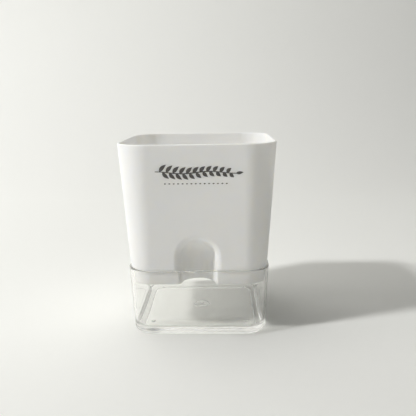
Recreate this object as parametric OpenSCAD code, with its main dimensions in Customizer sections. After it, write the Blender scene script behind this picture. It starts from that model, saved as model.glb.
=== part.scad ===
// Self watering planter: a tapered square pot whose shoulder stands on the rim of a clear
// reservoir, with a watering notch scooped out of the pot's lower front.
// Millimetres, +Z up. The origin is the middle of the footprint on the table, and the
// notch faces -Y. Every level of both mouldings is a rounded square on the same four
// corner axes, so each one is a profile of distance from those axes against height.

/* [Overall] */
// Width of the pot across its rim, flat to flat
pot_rim_w = 120; // [80:1:200]
// Height of the pot's rim above the table
pot_rim_z = 150; // [100:1:240]
// Distance between neighbouring corner axes
corner_spread = 71; // [40:1:120]

/* [Reservoir] */
// Height of the reservoir's rim above the table
res_rim_z = 53.6; // [40:0.2:80]
// Outer width of the reservoir at its rim
res_rim_w = 109.8; // [75:0.2:180]
// Outer width of the reservoir where its wall would meet the table
res_foot_w = 104.4; // [75:0.2:180]
// Thickness of the reservoir's wall
res_wall_t = 2; // [1.2:0.1:4]
// Radius of the reservoir's outer bottom edge
res_edge_r = 4.8; // [1:0.1:10]
// Radius between the reservoir's wall and its floor, inside
res_floor_r = 3.5; // [1:0.1:8]
// Height of the reservoir's floor, inside
res_floor_z = 6.4; // [4:0.1:12]
// Thickness of the reservoir's floor
res_floor_t = 5.4; // [1.5:0.1:6]
// Width of the hollow under the floor, inside the foot ring
res_under_w = 89; // [60:0.5:100]
// Diameter of the small pips moulded on the floor
pip_d = 3.4; // [2:0.1:6]
// Diameter of each pip at its top
pip_top_d = 2.4; // [1:0.1:6]
// Height of the pips and of the gate mark
pip_h = 0.8; // [0.3:0.1:2]
// Distance between neighbouring pips
pip_spread = 75; // [40:1:80]
// Outer diameter of the ring moulded round the gate point
gate_ring_d = 14; // [6:0.5:24]

/* [Inner pot] */
// Thickness of the pot's wall and floor
pot_wall_t = 2; // [1.2:0.1:4]
// Outer width of the pot just above its shoulder
pot_shoulder_w = 107.2; // [75:0.2:180]
// Play between the skirt and the reservoir's wall, at the rim
skirt_play = 0.5; // [0.3:0.1:2]
// Depth of the skirt below the shoulder
skirt_h = 11.1; // [5:0.1:30]
// Draft of the skirt over its depth, on each side
skirt_draft = 0.8; // [0:0.1:3]
// Height of the pot floor's underside above the skirt's lower edge
pot_floor_lift = 2; // [0:0.1:6]
// Radius between the pot's wall and its floor, inside
pot_floor_r = 4; // [1:0.5:10]
// Height over which the inner wall steps in at the shoulder
step_h = 3; // [1:0.5:8]

/* [Watering notch] */
// Width of the notch, which is round in plan
notch_w = 26; // [16:0.5:36]
// Depth of the notch, square to the pot's face
notch_d = 16.4; // [8:0.1:30]
// Radius of the rounded edge between the notch and the pot's face
notch_mouth_r = 6; // [3:0.5:8]
// Height of the arch's centre above the shoulder, along the face
notch_arch_z = 10.4; // [5:0.1:40]

/* [Pot floor holes] */
// Diameter of the two holes for the wick
wick_hole_d = 9; // [5:0.5:14]
// Distance between the two wick holes
wick_hole_pitch = 34; // [20:1:60]
// Diameter of the drain holes
drain_hole_d = 5; // [2:0.5:8]
// Distance between neighbouring drain holes in a row
drain_pitch = 14; // [8:1:20]
// Drain holes in each of the two rows
drain_count = 5; // [2:1:7]
// Distance of the front row of drain holes in front of the middle
drain_front = 13; // [5:1:25]
// Distance of the back row of drain holes behind the middle
drain_back = 27; // [5:1:40]

/* [Hidden] */

$fn = 96;
eps = 0.01;
overrun = 3;                // how far a cutter runs past the face that it opens

clear_plastic = [0.88, 0.92, 0.92, 0.45];
white_plastic = [0.95, 0.95, 0.94];

axis_xy = corner_spread / 2;
function off_axis(w) = w / 2 - axis_xy;

arc_steps = 6;
// Points of an arc about [cx, cy] from angle a0 to a1
function arc(cx, cy, r, a0, a1) =
    [for (i = [0 : arc_steps]) let (a = a0 + (a1 - a0) * i / arc_steps)
        [cx + r * cos(a), cy + r * sin(a)]];
function without_first(v) = [for (i = [1 : len(v) - 1]) v[i]];

// --- Reservoir levels, all measured out from a corner axis
res_rim_r = off_axis(res_rim_w);
res_foot_r = off_axis(res_foot_w);
res_slope = (res_rim_r - res_foot_r) / res_rim_z;
function res_outer_r(z) = res_foot_r + res_slope * z;
function res_inner_r(z) = res_outer_r(z) - res_wall_t;
res_lip_r = 0.5;            // roundness of the rim's two edges
res_under_z = res_floor_z - res_floor_t;

// --- Pot levels
shoulder_z = res_rim_z;
pot_rim_r = off_axis(pot_rim_w);
pot_shoulder_r = off_axis(pot_shoulder_w);
pot_slope = (pot_rim_r - pot_shoulder_r) / (pot_rim_z - shoulder_z);
function pot_outer_r(z) = pot_shoulder_r + pot_slope * (z - shoulder_z);
pot_lip_r = 0.9;            // roundness of the rim's two edges
skirt_z = shoulder_z - skirt_h;
skirt_top_r = res_inner_r(shoulder_z) - skirt_play;
skirt_low_r = skirt_top_r - skirt_draft;
skirt_slope = skirt_draft / skirt_h;
function skirt_inner_r(z) = skirt_low_r + skirt_slope * (z - skirt_z) - pot_wall_t;
pot_floor_low_z = skirt_z + pot_floor_lift;
pot_floor_z = pot_floor_low_z + pot_wall_t;
step_top_z = shoulder_z + step_h;

// The notch is set out square to the sloping front face. In plan it is an arc that meets
// the rounded edge on each side of it.
face_tilt = atan(pot_slope);
notch_low = skirt_h + overrun;
notch_r = notch_w / 2;
notch_back_y = notch_d - notch_r;
notch_mouth_x = sqrt(pow(notch_r + notch_mouth_r, 2) - pow(notch_mouth_r - notch_back_y, 2));
notch_turn = atan2(notch_mouth_r - notch_back_y, notch_mouth_x);

// A solid whose every level is a rounded square: profile holds [distance out from a
// corner axis, height], and starts and ends on the axis.
module round_square(profile) {
    for (q = [0 : 3]) rotate(90 * q) {
        translate([axis_xy, axis_xy, 0]) rotate_extrude(angle = 90) polygon(profile);
        translate([axis_xy, axis_xy, 0]) rotate([90, 0, 0])
            linear_extrude(corner_spread) polygon(profile);
    }
    low = min([for (p = profile) p[1]]);
    high = max([for (p = profile) p[1]]);
    translate([-axis_xy, -axis_xy, low]) cube([corner_spread, corner_spread, high - low]);
}

// Four copies round the middle, one near each corner
module at_corners(spread) {
    for (sx = [-1, 1], sy = [-1, 1]) translate([sx * spread / 2, sy * spread / 2, 0])
        children();
}

// --- Reservoir
module reservoir_outside() {
    edge_x = res_outer_r(res_edge_r) - res_edge_r;
    round_square(concat(
        [[0, 0]],
        arc(edge_x, res_edge_r, res_edge_r, -90, 0),
        arc(res_rim_r - res_lip_r, res_rim_z - res_lip_r, res_lip_r, 0, 90),
        [[0, res_rim_z]]));
}

module reservoir_inside() {
    floor_x = res_inner_r(res_floor_z + res_floor_r) - res_floor_r;
    mouth_x = res_inner_r(res_rim_z);
    round_square(concat(
        [[0, res_floor_z]],
        arc(floor_x, res_floor_z + res_floor_r, res_floor_r, -90, 0),
        [[mouth_x, res_rim_z], [mouth_x, res_rim_z + overrun], [0, res_rim_z + overrun]]));
}

module under_floor_hollow() {
    r = off_axis(res_under_w);
    round_square([[0, -overrun], [r, -overrun], [r, res_under_z], [0, res_under_z]]);
}

module gate_mark() {
    ring_t = 1.2;
    difference() {
        cylinder(d = gate_ring_d, h = pip_h / 2);
        translate([0, 0, -eps]) cylinder(d = gate_ring_d - 2 * ring_t, h = pip_h);
    }
    cylinder(d = pip_d, h = pip_h);
}

module reservoir() color(clear_plastic) {
    difference() {
        reservoir_outside();
        reservoir_inside();
        under_floor_hollow();
    }
    translate([0, 0, res_floor_z - eps]) {
        at_corners(pip_spread) cylinder(d1 = pip_d, d2 = pip_top_d, h = pip_h);
        gate_mark();
    }
}

// --- Inner pot
module pot_outside() {
    round_square(concat(
        [[0, skirt_z], [skirt_low_r, skirt_z], [skirt_top_r, shoulder_z],
         [pot_shoulder_r, shoulder_z]],
        arc(pot_rim_r - pot_lip_r, pot_rim_z - pot_lip_r, pot_lip_r, 0, 90),
        [[0, pot_rim_z]]));
}

module pot_inside() {
    floor_x = skirt_inner_r(pot_floor_z + pot_floor_r) - pot_floor_r;
    mouth_x = pot_rim_r - pot_wall_t;
    round_square(concat(
        [[0, pot_floor_z]],
        arc(floor_x, pot_floor_z + pot_floor_r, pot_floor_r, -90, 0),
        [[skirt_inner_r(shoulder_z), shoulder_z],
         [pot_outer_r(step_top_z) - pot_wall_t, step_top_z],
         [mouth_x, pot_rim_z], [mouth_x, pot_rim_z + overrun], [0, pot_rim_z + overrun]]));
}

module under_pot_hollow() {
    r = skirt_low_r - pot_wall_t;
    round_square([[0, skirt_z - overrun], [r, skirt_z - overrun], [r, pot_floor_low_z],
                  [0, pot_floor_low_z]]);
}

// Half of the notch's plan: x across, y into the pot. A grown copy is its wall's outline.
function notch_half(grow) =
    concat([[0, -overrun], [notch_mouth_x, -overrun]],
           arc(notch_mouth_x, notch_mouth_r, notch_mouth_r - grow, -90, notch_turn - 180),
           without_first(arc(0, notch_back_y, notch_r + grow, notch_turn, 90)));

// The notch as a solid: a column up to the arch, and the same outline turned over it
module notch(grow) {
    half = notch_half(grow);
    translate([0, -pot_shoulder_w / 2, shoulder_z]) rotate([face_tilt, 0, 0]) {
        for (side = [0, 1]) mirror([side, 0, 0]) translate([0, 0, -notch_low])
            linear_extrude(notch_low + notch_arch_z) polygon(half);
        translate([0, 0, notch_arch_z]) rotate([90, 0, 0])
            rotate_extrude(angle = 180) polygon([for (p = half) [p[0], -p[1]]]);
    }
}

module floor_holes() {
    wick_row = (drain_back - drain_front) / 2;
    first_x = -drain_pitch * (drain_count - 1) / 2;
    translate([0, 0, pot_floor_low_z - eps]) {
        for (side = [-1, 1]) translate([side * wick_hole_pitch / 2, wick_row, 0])
            cylinder(d = wick_hole_d, h = pot_wall_t + 2 * eps);
        for (y = [-drain_front, drain_back], i = [0 : drain_count - 1])
            translate([first_x + i * drain_pitch, y, 0])
                cylinder(d = drain_hole_d, h = pot_wall_t + 2 * eps);
    }
}

module inner_pot() color(white_plastic) difference() {
    pot_outside();
    difference() {
        pot_inside();
        notch(pot_wall_t);
    }
    difference() {
        under_pot_hollow();
        notch(pot_wall_t);
    }
    notch(0);
    floor_holes();
}

reservoir();
inner_pot();
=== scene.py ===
"""Looks of a self watering planter: a white pot standing in a clear reservoir.

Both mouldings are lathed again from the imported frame's sizes, with finer edges than the
CAD carries. Every level of both is a rounded square on the same four corner axes, so a
profile is a list of (distance out from a corner axis, height). Lengths are in millimetres
until a mesh is made.
"""

import math

import bmesh
import bpy
from mathutils import Matrix, Vector


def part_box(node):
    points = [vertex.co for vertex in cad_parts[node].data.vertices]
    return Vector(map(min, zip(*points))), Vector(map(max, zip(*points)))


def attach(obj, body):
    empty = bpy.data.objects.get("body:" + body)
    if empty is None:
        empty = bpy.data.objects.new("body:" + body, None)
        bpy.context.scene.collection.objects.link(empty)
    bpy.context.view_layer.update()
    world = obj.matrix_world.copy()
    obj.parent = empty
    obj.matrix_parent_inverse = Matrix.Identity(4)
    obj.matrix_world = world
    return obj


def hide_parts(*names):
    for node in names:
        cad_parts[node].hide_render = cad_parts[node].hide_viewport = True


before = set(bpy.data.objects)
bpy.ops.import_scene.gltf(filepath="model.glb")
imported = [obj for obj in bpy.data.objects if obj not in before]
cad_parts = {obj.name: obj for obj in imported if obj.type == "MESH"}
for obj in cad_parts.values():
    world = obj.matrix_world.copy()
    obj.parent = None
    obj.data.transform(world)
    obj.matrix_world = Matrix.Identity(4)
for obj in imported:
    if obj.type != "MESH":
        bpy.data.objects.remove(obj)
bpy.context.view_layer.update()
scene = bpy.context.scene

MM = 0.001
pot_low, pot_high = (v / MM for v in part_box("inner_pot"))
res_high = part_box("reservoir")[1] / MM

# --- Sizes taken from the frame
POT_RIM_HALF = pot_high.x
POT_RIM_Z = pot_high.z
SKIRT_Z = pot_low.z
RES_RIM_HALF = res_high.x
RES_RIM_Z = res_high.z

# --- Sizes shared with the CAD source
CORNER_AXIS = 35.5
POT_SHOULDER_HALF = 53.6
POT_WALL = 2.0
SKIRT_PLAY = 0.5
SKIRT_DRAFT = 0.8
POT_FLOOR_LIFT = 2.0
POT_FLOOR_R = 4.0
STEP_H = 3.0
RES_FOOT_HALF = 52.2
RES_WALL = 2.0
RES_EDGE_R = 4.8
RES_FLOOR_R = 3.5
RES_FLOOR_Z = 6.4
RES_FLOOR_T = 5.4
RES_UNDER_HALF = 44.5
PIP_D = 3.4
PIP_H = 0.8
PIP_SPREAD = 75.0
GATE_RING_D = 14.0
GATE_RING_T = 1.2
GATE_RING_H = 0.4
NOTCH_R = 13.0
NOTCH_D = 16.4
NOTCH_MOUTH_R = 6.0
NOTCH_ARCH_Z = 10.4
WICK_HOLE_D = 9.0
WICK_HOLE_X = 17.0
DRAIN_HOLE_D = 5.0
DRAIN_PITCH = 14.0
DRAIN_COUNT = 5
DRAIN_ROWS = (-13.0, 27.0)

# --- Finish of the edges, finer than the CAD's
LIP_R = 0.95
RES_LIP_R = 0.55
RECESS_R = 0.5
EDGE_R = 0.45
PIP_CHAMFER = 0.5
GATE_CHAMFER = 0.4
GATE_RING_CHAMFER = 0.2
SEAT_GAP = 0.08             # the pot's shoulder stands this far off the clear rim
MARK_ROOT = 0.4             # raised marks start this far under the floor's surface
ARC_STEPS = 12
CORNER_STEPS = 28
DISC_STEPS = 48
NOTCH_TURNS = 48
OVERRUN = 3.0               # cutting solids reach this far past what they cut
HOLE_OVERRUN = 1.0
MERGE = 1e-6                # metres: points closer than this become one
SHARP_DEG = 32
LIGHT_BOUNCES = 24

SHOULDER_Z = RES_RIM_Z
POT_SLOPE = (POT_RIM_HALF - POT_SHOULDER_HALF) / (POT_RIM_Z - SHOULDER_Z)
FACE_TILT = math.atan(POT_SLOPE)
FACE = (
    Matrix.Translation((0, -POT_SHOULDER_HALF, SHOULDER_Z)) @ Matrix.Rotation(FACE_TILT, 4, "X")
)  # the front face's own frame: x across, y into the pot, z up the face


# ---------------------------------------------------------------- camera
def look_at(obj, target, roll=0.0):
    """Points obj at target, then turns it by roll about its line of sight."""
    aim = (Vector(target) - obj.location).to_track_quat("-Z", "Y")
    obj.rotation_euler = (aim.to_matrix() @ Matrix.Rotation(roll, 3, "Z")).to_euler()


def make_camera():
    cam = bpy.data.objects.new("camera", bpy.data.cameras.new("camera"))
    scene.collection.objects.link(cam)
    cam.data.sensor_width = 36
    cam.data.lens = 45.7
    cam.location = Vector((20.7, -434.7, 183.2)) * MM
    look_at(cam, Vector((6.6, 0, 91.1)) * MM, math.radians(-0.88))
    cam.data.clip_start, cam.data.clip_end = 0.01, 30
    scene.camera = cam


# ---------------------------------------------------------------- mesh helpers
def arc(cx, cy, r, a0, a1, steps=ARC_STEPS):
    """Points of an arc about (cx, cy), from angle a0 to a1 in degrees."""
    turn = [math.radians(a0 + (a1 - a0) * i / steps) for i in range(steps + 1)]
    return [(cx + r * math.cos(a), cy + r * math.sin(a)) for a in turn]


def new_object(name, bm, matrix=Matrix()):
    """A mesh object from a bmesh in millimetres."""
    bmesh.ops.recalc_face_normals(bm, faces=bm.faces)
    bm.transform(Matrix.Scale(MM, 4) @ matrix)
    mesh = bpy.data.meshes.new(name)
    bm.to_mesh(mesh)
    bm.free()
    obj = bpy.data.objects.new(name, mesh)
    scene.collection.objects.link(obj)
    return obj


def join_rows(bm, a, b):
    """Faces between two closed rows of vertices."""
    for i in range(len(a)):
        j = (i + 1) % len(a)
        bm.faces.new((a[i], a[j], b[j], b[i]))


def skin(name, rings, matrix=Matrix()):
    """A closed solid through rings of points, with a flat cap on its first and last ring."""
    bm = bmesh.new()
    rows = [[bm.verts.new(p) for p in ring] for ring in rings]
    for a, b in zip(rows, rows[1:]):
        join_rows(bm, a, b)
    bm.faces.new(rows[0])
    bm.faces.new(rows[-1])
    return new_object(name, bm, matrix)


def round_square(name, profile):
    """A solid whose every level is a rounded square on the corner axes."""
    rings = []
    for r, z in profile:
        ring = []
        for quarter in range(4):
            cx = CORNER_AXIS * (1 if quarter in (0, 3) else -1)
            cy = CORNER_AXIS * (1 if quarter in (0, 1) else -1)
            start = 90 * quarter
            ring += [(x, y, z) for x, y in arc(cx, cy, r, start, start + 90, CORNER_STEPS)]
        rings.append(ring)
    return skin(name, rings)


def disc(name, d, z0, z1, at=(0, 0), inner_d=None, chamfer=0.0):
    """An upright cylinder or ring with softened edges."""
    r = d / 2
    profile = [(r, z0), (r, z1 - chamfer), (r - chamfer, z1)]
    if inner_d:
        ri = inner_d / 2
        profile += [(ri + chamfer, z1), (ri, z1 - chamfer), (ri, z0)]
    bm = bmesh.new()
    turns = [2 * math.pi * i / DISC_STEPS for i in range(DISC_STEPS)]
    rows = [
        [bm.verts.new((at[0] + pr * math.cos(t), at[1] + pr * math.sin(t), pz)) for t in turns]
        for pr, pz in profile
    ]
    for a, b in zip(rows, rows[1:]):
        join_rows(bm, a, b)
    if inner_d:
        join_rows(bm, rows[-1], rows[0])
    else:
        bm.faces.new(rows[0])
        bm.faces.new(rows[-1])
    return new_object(name, bm)


def combine(obj, others, operation):
    """obj with others cut from it or joined to it, as one mesh. The others are used up."""
    for other in others:
        mod = obj.modifiers.new("combine", "BOOLEAN")
        mod.operation, mod.solver, mod.object = operation, "EXACT", other
    graph = bpy.context.evaluated_depsgraph_get()
    mesh = bpy.data.meshes.new_from_object(obj.evaluated_get(graph))
    obj.modifiers.clear()
    obj.data = mesh
    for other in others:
        bpy.data.objects.remove(other)


def smooth(obj):
    """Smooth shading between sharp edges, with flat faces kept flat."""
    bm = bmesh.new()
    bm.from_mesh(obj.data)
    bmesh.ops.remove_doubles(bm, verts=bm.verts, dist=MERGE)
    bmesh.ops.dissolve_degenerate(bm, edges=bm.edges, dist=MERGE)
    limit = math.radians(SHARP_DEG)
    for e in bm.edges:
        e.smooth = len(e.link_faces) == 2 and e.calc_face_angle(0) < limit
    for f in bm.faces:
        f.smooth = True
    bm.to_mesh(obj.data)
    bm.free()
    mod = obj.modifiers.new("flat_faces_flat", "WEIGHTED_NORMAL")
    mod.mode, mod.keep_sharp, mod.weight = "FACE_AREA_WITH_ANGLE", True, 80


# ---------------------------------------------------------------- shapes
def out(half):
    """Distance from a corner axis of a level this far from the middle."""
    return half - CORNER_AXIS


def res_outer(z):
    return out(RES_FOOT_HALF + (RES_RIM_HALF - RES_FOOT_HALF) * z / RES_RIM_Z)


def res_inner(z):
    return res_outer(z) - RES_WALL


def make_reservoir():
    edge = res_outer(RES_EDGE_R) - RES_EDGE_R
    floor = res_inner(RES_FLOOR_Z + RES_FLOOR_R) - RES_FLOOR_R
    under, under_z = out(RES_UNDER_HALF), RES_FLOOR_Z - RES_FLOOR_T
    rim, lip_z = res_outer(RES_RIM_Z), RES_RIM_Z - RES_LIP_R
    body = round_square("reservoir_shell", (
        [(under - 2 * RECESS_R, under_z)]
        + arc(under - RECESS_R, under_z - RECESS_R, RECESS_R, 90, 0, 6)
        + arc(under + EDGE_R, EDGE_R, EDGE_R, 180, 270, 5)
        + arc(edge, RES_EDGE_R, RES_EDGE_R, -90, 0)
        + arc(rim - RES_LIP_R, lip_z, RES_LIP_R, 0, 90, 8)
        + arc(rim - RES_WALL + RES_LIP_R, lip_z, RES_LIP_R, 90, 180, 8)
        + arc(floor, RES_FLOOR_Z + RES_FLOOR_R, RES_FLOOR_R, 0, -90)
    ))
    base, pip_z, half = RES_FLOOR_Z - MARK_ROOT, RES_FLOOR_Z + PIP_H, PIP_SPREAD / 2
    marks = [
        disc("pip", PIP_D, base, pip_z, (sx * half, sy * half), chamfer=PIP_CHAMFER)
        for sx in (-1, 1) for sy in (-1, 1)
    ]
    marks.append(disc("ring", GATE_RING_D, base, RES_FLOOR_Z + GATE_RING_H,
                      inner_d=GATE_RING_D - 2 * GATE_RING_T, chamfer=GATE_RING_CHAMFER))
    marks.append(disc("gate", PIP_D, base, pip_z, chamfer=GATE_CHAMFER))
    combine(body, marks, "UNION")
    smooth(body)
    return body


def notch_profile(grow):
    """Half of the notch's plan, as (distance from its middle, depth into the pot)."""
    back_y = NOTCH_D - NOTCH_R
    rise = NOTCH_MOUTH_R - back_y
    mouth_x = math.sqrt((NOTCH_R + NOTCH_MOUTH_R) ** 2 - rise ** 2)
    turn = math.degrees(math.atan2(rise, mouth_x))
    return (
        [(mouth_x, -OVERRUN)]
        + arc(mouth_x, NOTCH_MOUTH_R, NOTCH_MOUTH_R - grow, -90, turn - 180, 20)
        + arc(0, back_y, NOTCH_R + grow, turn, 90, 32)[1:-1]
    )


def notch(name, grow):
    """The notch as a solid: its plan carried up one side, over the arch and down the other."""
    low = SKIRT_Z - SHOULDER_Z - OVERRUN
    rings = []
    for rho, depth in notch_profile(grow):
        over = arc(0, NOTCH_ARCH_Z, rho, 0, 180, NOTCH_TURNS)
        rings.append([(x, depth, z) for x, z in [(rho, low)] + over + [(-rho, low)]])
    return skin(name, rings, FACE)


def make_holes(z0, z1):
    """Cutting solids for the wick holes and the drain holes in the pot's floor."""
    wick_y = sum(DRAIN_ROWS) / 2
    holes = [disc("hole", WICK_HOLE_D, z0, z1, (s * WICK_HOLE_X, wick_y)) for s in (-1, 1)]
    for y in DRAIN_ROWS:
        for i in range(DRAIN_COUNT):
            x = (i - (DRAIN_COUNT - 1) / 2) * DRAIN_PITCH
            holes.append(disc("hole", DRAIN_HOLE_D, z0, z1, (x, y)))
    return holes


def make_pot():
    seat = SHOULDER_Z + SEAT_GAP
    rim, shoulder = out(POT_RIM_HALF), out(POT_SHOULDER_HALF)
    skirt_top = res_inner(SHOULDER_Z) - SKIRT_PLAY
    skirt_low = skirt_top - SKIRT_DRAFT
    skirt_slope = SKIRT_DRAFT / (SHOULDER_Z - SKIRT_Z)
    floor_low = SKIRT_Z + POT_FLOOR_LIFT
    floor_z = floor_low + POT_WALL

    def skirt_inner(z):
        return skirt_low + skirt_slope * (z - SKIRT_Z) - POT_WALL

    pot = round_square("pot", (
        arc(skirt_low - EDGE_R, SKIRT_Z + EDGE_R, EDGE_R, -90, 0, 5)
        + [(skirt_top, seat)]
        + arc(shoulder - EDGE_R, seat + EDGE_R, EDGE_R, -90, 0, 6)
        + arc(rim - LIP_R, POT_RIM_Z - LIP_R, LIP_R, 0, 90, 8)
    ))
    floor_r = skirt_inner(floor_z + POT_FLOOR_R) - POT_FLOOR_R
    mouth = rim - POT_WALL + LIP_R
    inside = round_square("pot_inside", (
        arc(floor_r, floor_z + POT_FLOOR_R, POT_FLOOR_R, -90, 0)
        + [(skirt_inner(SHOULDER_Z), SHOULDER_Z)]
        + [(shoulder + POT_SLOPE * STEP_H - POT_WALL, SHOULDER_Z + STEP_H)]
        + arc(mouth, POT_RIM_Z - LIP_R, LIP_R, 180, 90, 8)
        + [(mouth, POT_RIM_Z + OVERRUN)]
    ))
    under = round_square("pot_under", [
        (skirt_low - POT_WALL, SKIRT_Z - OVERRUN), (skirt_low - POT_WALL, floor_low)])
    for hollow in (inside, under):
        combine(hollow, [notch("wall", POT_WALL)], "DIFFERENCE")
    holes = make_holes(floor_low - HOLE_OVERRUN, floor_z + HOLE_OVERRUN)
    combine(pot, [inside, under, notch("cut", 0)] + holes, "DIFFERENCE")
    smooth(pot)
    return pot


# ---------------------------------------------------------------- the print
def leaf(length, width, bend, steps=10):
    """Outline of a pointed leaf that starts at the origin and runs along +x."""
    fullness = 0.8          # under 1, the leaf is widest nearer its root
    upper, lower = [], []
    for i in range(steps + 1):
        t = i / steps
        mid = bend * length * t * (1 - t)
        half = width / 2 * math.sin(math.pi * t ** fullness)
        upper.append((length * t, mid + half))
        lower.append((length * t, mid - half))
    return lower + upper[-2:0:-1]


def placed(outline, x, z, turn_deg):
    """An outline turned about the origin and then moved to (x, z)."""
    c, s = math.cos(math.radians(turn_deg)), math.sin(math.radians(turn_deg))
    return [(x + c * px - s * pz, z + s * px + c * pz) for px, pz in outline]


def print_on_face(name, outlines):
    """Thin ink solids laid on the pot's front face, from outlines in the face's x and z."""
    sunk, proud = 0.03, 0.05
    bm = bmesh.new()
    for outline in outlines:
        back = [bm.verts.new((x, sunk, z)) for x, z in outline]
        front = [bm.verts.new((x, -proud, z)) for x, z in outline]
        bm.faces.new(back)
        bm.faces.new(front)
        join_rows(bm, back, front)
    return new_object(name, bm, FACE)


def make_print():
    """A generic leafy sprig with a row of seeds under it."""
    mid_z, half_w, wave = 76.2, 29.5, 0.8
    stem_steps, stem_root, stem_taper = 40, 0.42, 0.16
    pairs, margin, spare, stagger = 11, 3.2, 5.5, 2.2
    leaf_size, leaf_shrink, lower_share, bend, spread_deg = 7.4, 0.26, 0.92, 0.25, 46
    seed_count, seed_pitch, seed_size, seed_drop = 15, 3.2, 1.7, 8.2

    def stem_z(x):
        return mid_z + wave * math.sin(x / half_w * math.pi * 1.5)

    def stem_half(x):
        return stem_root - stem_taper * abs(x) / half_w

    xs = [half_w * (i / stem_steps * 2 - 1) for i in range(stem_steps + 1)]
    stem = [(x, stem_z(x) - stem_half(x)) for x in xs]
    stem += [(x, stem_z(x) + stem_half(x)) for x in reversed(xs)]
    sprig = [stem]
    for i in range(pairs):
        x = -half_w + margin + i * (2 * half_w - spare) / pairs
        x_low, size = x + stagger, leaf_size - leaf_shrink * i
        sprig.append(placed(leaf(size, 2.8, bend), x, stem_z(x), spread_deg))
        sprig.append(
            placed(leaf(size * lower_share, 2.7, -bend), x_low, stem_z(x_low), -spread_deg))
    sprig.append(placed(leaf(5.5, 2.2, 0.0), half_w - 0.5, stem_z(half_w), 8))

    seeds = []
    for i in range(seed_count):
        x = (i - (seed_count - 1) / 2) * seed_pitch - seed_size / 2
        seeds.append(placed(leaf(seed_size, 0.9, 0.0, 6), x, mid_z - seed_drop, 0))
    return print_on_face("printed_sprig", sprig), print_on_face("printed_seeds", seeds)


# ---------------------------------------------------------------- materials
def material(name):
    """A new material, its node tree and its shader."""
    mat = bpy.data.materials.new(name)
    mat.use_nodes = True
    return mat, mat.node_tree, mat.node_tree.nodes["Principled BSDF"]


def noise(tree, scale, detail=2.0, rough=0.5):
    """Noise over the object's own coordinates."""
    place = tree.nodes.new("ShaderNodeTexCoord")
    n = tree.nodes.new("ShaderNodeTexNoise")
    n.inputs["Scale"].default_value = scale
    n.inputs["Detail"].default_value = detail
    n.inputs["Roughness"].default_value = rough
    tree.links.new(place.outputs["Object"], n.inputs["Vector"])
    return n.outputs["Fac"]


def blend(tree, factor, a, b):
    """A colour that goes from a to b with factor."""
    n = tree.nodes.new("ShaderNodeMix")
    n.data_type = "RGBA"
    n.inputs["A"].default_value = (*a, 1)
    n.inputs["B"].default_value = (*b, 1)
    tree.links.new(factor, n.inputs["Factor"])
    return n.outputs["Result"]


def relief(tree, height, strength, distance, normal=None):
    """A bumped normal, laid over another one if it is given."""
    n = tree.nodes.new("ShaderNodeBump")
    n.inputs["Strength"].default_value = strength
    n.inputs["Distance"].default_value = distance
    tree.links.new(height, n.inputs["Height"])
    if normal:
        tree.links.new(normal, n.inputs["Normal"])
    return n.outputs["Normal"]


def math_node(tree, operation, a, b):
    """operation on a socket and on another socket or a number."""
    n = tree.nodes.new("ShaderNodeMath")
    n.operation = operation
    tree.links.new(a, n.inputs[0])
    if isinstance(b, float):
        n.inputs[1].default_value = b
    else:
        tree.links.new(b, n.inputs[1])
    return n.outputs["Value"]


def mix_shaders(tree, factor, a, b, output):
    """Sends a mix of the shaders a and b, all b where factor is 1, to the output node."""
    n = tree.nodes.new("ShaderNodeMixShader")
    tree.links.new(factor, n.inputs["Fac"])
    tree.links.new(a, n.inputs[1])
    tree.links.new(b, n.inputs[2])
    tree.links.new(n.outputs["Shader"], tree.nodes[output].inputs["Surface"])


def white_plastic():
    """Injection moulded polypropylene: satin, faintly grained, never quite even."""
    mat, tree, bsdf = material("white_plastic")
    cloud = noise(tree, 22, 3)
    tone = blend(tree, cloud, (0.895, 0.894, 0.886), (0.915, 0.914, 0.905))
    gloss = tree.nodes.new("ShaderNodeMapRange")
    gloss.inputs["To Min"].default_value = 0.36
    gloss.inputs["To Max"].default_value = 0.5
    tree.links.new(cloud, gloss.inputs["Value"])
    grain = relief(tree, noise(tree, 1500, 3, 0.6), 0.12, 0.00012)
    sink = relief(tree, noise(tree, 30, 1), 0.15, 0.0006, grain)
    tree.links.new(tone, bsdf.inputs["Base Color"])
    tree.links.new(gloss.outputs["Result"], bsdf.inputs["Roughness"])
    tree.links.new(sink, bsdf.inputs["Normal"])
    bsdf.inputs["IOR"].default_value = 1.49
    bsdf.inputs["Specular IOR Level"].default_value = 0.35
    bsdf.inputs["Subsurface Weight"].default_value = 1.0
    bsdf.inputs["Subsurface Radius"].default_value = (1.0, 0.95, 0.85)
    bsdf.inputs["Subsurface Scale"].default_value = 0.004
    return mat


def clear_plastic():
    """Clear styrene. Lamps pass straight through it, a little weaker edge on.

    Most of the light that a surface scatters passes straight through too. Bent light would
    find the lamps a second time, and what stands in the reservoir would be too bright.
    """
    mat, tree, bsdf = material("clear_plastic")
    bsdf.inputs["Base Color"].default_value = (0.99, 0.99, 0.985, 1)
    bsdf.inputs["Transmission Weight"].default_value = 1
    bsdf.inputs["IOR"].default_value = 1.5
    bsdf.inputs["Roughness"].default_value = 0.02
    tree.links.new(relief(tree, noise(tree, 20, 1), 0.06, 0.0006), bsdf.inputs["Normal"])
    edge = tree.nodes.new("ShaderNodeLayerWeight")
    edge.inputs["Blend"].default_value = 0.35
    tint = blend(tree, edge.outputs["Facing"], (0.955, 0.955, 0.95), (0.8, 0.8, 0.79))
    clear = tree.nodes.new("ShaderNodeBsdfTransparent")
    tree.links.new(tint, clear.inputs["Color"])
    path = tree.nodes.new("ShaderNodeLightPath")
    scattered = math_node(tree, "MULTIPLY", path.outputs["Is Diffuse Ray"], 0.88)
    straight = math_node(tree, "MAXIMUM", path.outputs["Is Shadow Ray"], scattered)
    mix_shaders(tree, straight, bsdf.outputs["BSDF"], clear.outputs["BSDF"], "Material Output")
    return mat


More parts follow.
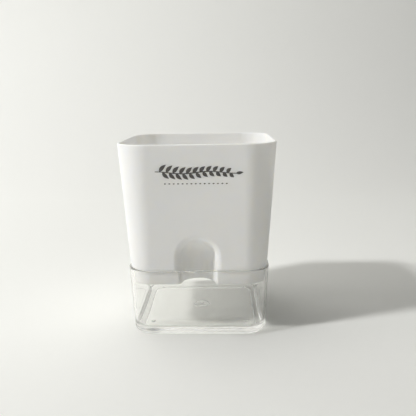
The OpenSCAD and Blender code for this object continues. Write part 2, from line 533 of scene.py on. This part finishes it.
def patchy(name, scale, detail, dark, pale, roughness):
    """A plain material whose colour wanders between two tones."""
    mat, tree, bsdf = material(name)
    tree.links.new(blend(tree, noise(tree, scale, detail), dark, pale), bsdf.inputs["Base Color"])
    bsdf.inputs["Roughness"].default_value = roughness
    return mat


def ink():
    """Pad printed ink, thin enough for its density to vary."""
    return patchy("ink", 900, 2, (0.06, 0.056, 0.052), (0.13, 0.124, 0.116), 0.5)


def paper():
    """The pale sweep that the planter stands on."""
    return patchy("paper", 160, 4, (0.885, 0.892, 0.872), (0.9, 0.906, 0.886), 0.7)


# ---------------------------------------------------------------- stage
def make_sweep():
    """A floor that curves up into a backdrop, in metres."""
    front, back, radius, top, half = -2.5, 1.0, 0.5, 3.0, 4.0
    line = [(front, 0.0), (-0.5, 0.0), (0.0, 0.0), (0.3, 0.0)]
    line += arc(back - radius, radius, radius, -90, 0, 24)
    line += [(back, top)]
    bm = bmesh.new()
    rows = [[bm.verts.new((x * half, y, z)) for x in (-1, 1)] for y, z in line]
    for a, b in zip(rows, rows[1:]):
        bm.faces.new((a[0], a[1], b[1], b[0])).smooth = True
    mesh = bpy.data.meshes.new("sweep")
    bm.to_mesh(mesh)
    bm.free()
    obj = bpy.data.objects.new("sweep", mesh)
    scene.collection.objects.link(obj)
    obj.data.materials.append(paper())


def area_light(name, location, target, size, watts, colour):
    """A round lamp that the camera doesn't see. Places and size are in metres."""
    data = bpy.data.lights.new(name, "AREA")
    data.shape, data.size, data.energy, data.color = "DISK", size, watts, colour
    obj = bpy.data.objects.new(name, data)
    scene.collection.objects.link(obj)
    obj.location = location
    obj.visible_camera = False
    look_at(obj, target)


def make_lights():
    white, warm = (1, 0.998, 0.985), (1, 0.975, 0.925)
    area_light("key", (-1.95, -0.87, 1.98), (0, 0, 0.05), 0.29, 51.0, white)
    area_light("left_back", (-3.0, 0.0, 1.4), (0, 0.1, 0.1), 1.7, 20.5, warm)
    area_light("top", (-0.3, 0.1, 1.7), (0, 0.1, 0.0), 1.2, 5.7, warm)


def make_room():
    """A dim room for lighting, which looks as bright as a studio where it is seen."""
    world = bpy.data.worlds.new("room")
    world.use_nodes = True
    tree = world.node_tree
    dim = tree.nodes["Background"]
    dim.inputs["Color"].default_value = (1.0, 0.99, 0.96, 1)
    dim.inputs["Strength"].default_value = 0.01
    bright = tree.nodes.new("ShaderNodeBackground")
    bright.inputs["Color"].default_value = (1.0, 0.995, 0.98, 1)
    bright.inputs["Strength"].default_value = 0.68
    path = tree.nodes.new("ShaderNodeLightPath").outputs
    bent = math_node(tree, "MAXIMUM", path["Is Glossy Ray"], path["Is Transmission Ray"])
    seen = math_node(tree, "MAXIMUM", bent, path["Is Camera Ray"])
    mix_shaders(tree, seen, dim.outputs["Background"], bright.outputs["Background"],
                "World Output")
    scene.world = world


# ---------------------------------------------------------------- assembly
def dress(obj, mat):
    """Gives obj one material and nothing else."""
    obj.data.materials.clear()
    obj.data.materials.append(mat)


def main():
    make_camera()

    reservoir = make_reservoir()
    dress(reservoir, clear_plastic())
    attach(reservoir, "reservoir")
    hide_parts("reservoir")

    pot = make_pot()
    dress(pot, white_plastic())
    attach(pot, "pot")
    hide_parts("inner_pot")

    dark = ink()
    for piece in make_print():
        dress(piece, dark)
        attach(piece, "pot")

    make_sweep()
    make_lights()
    make_room()
    scene.view_settings.view_transform = "Standard"
    scene.cycles.diffuse_bounces = LIGHT_BOUNCES // 2
    scene.cycles.glossy_bounces = LIGHT_BOUNCES     # light stays long inside clear walls
    scene.cycles.transmission_bounces = LIGHT_BOUNCES
    scene.cycles.max_bounces = LIGHT_BOUNCES


main()
